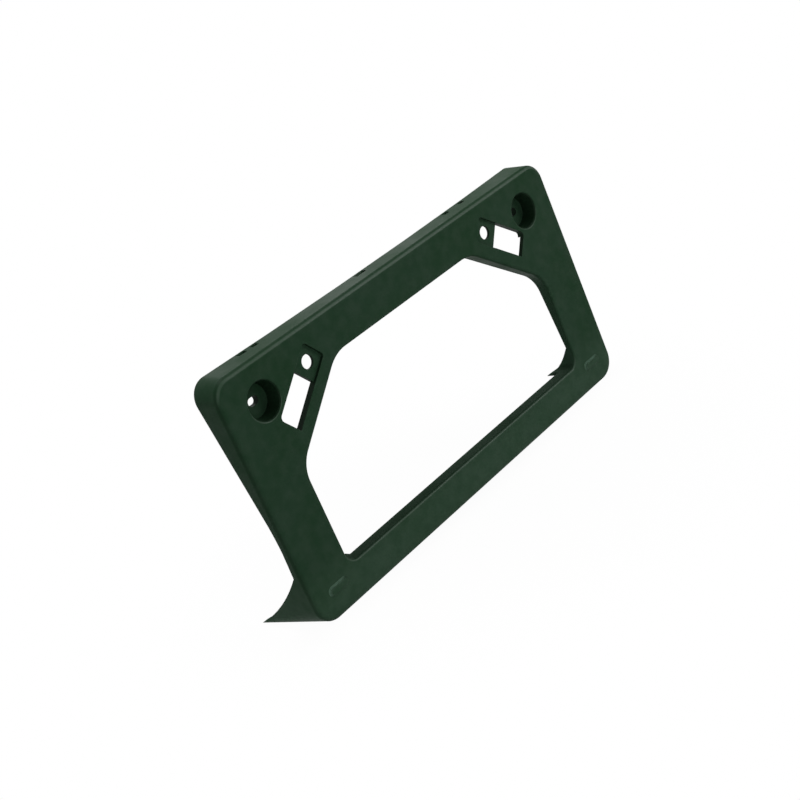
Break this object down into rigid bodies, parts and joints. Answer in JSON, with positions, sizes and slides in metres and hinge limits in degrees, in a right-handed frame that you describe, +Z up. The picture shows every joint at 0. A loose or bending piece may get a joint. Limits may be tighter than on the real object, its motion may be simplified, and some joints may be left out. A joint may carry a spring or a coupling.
{
  "type": "number plate holder",
  "caption": "Moulded number plate holder: flat front frame with slanted corners, bolt cups, clip windows and a skirt with feet that follows a curved bumper.",
  "frame": {"origin": "midway between the two plate screw holes, on the floor they are drilled in", "axes": "+X to the right seen from the front, +Y back towards the bumper, +Z up"},
  "size_m": [0.3206, 0.0629, 0.1654],
  "materials": {
    "holder": "moulded, fine grain, slightly worn"
  },
  "bodies": {
    "root": {"plate_holder": "holder"}
  },
  "joints": []
}
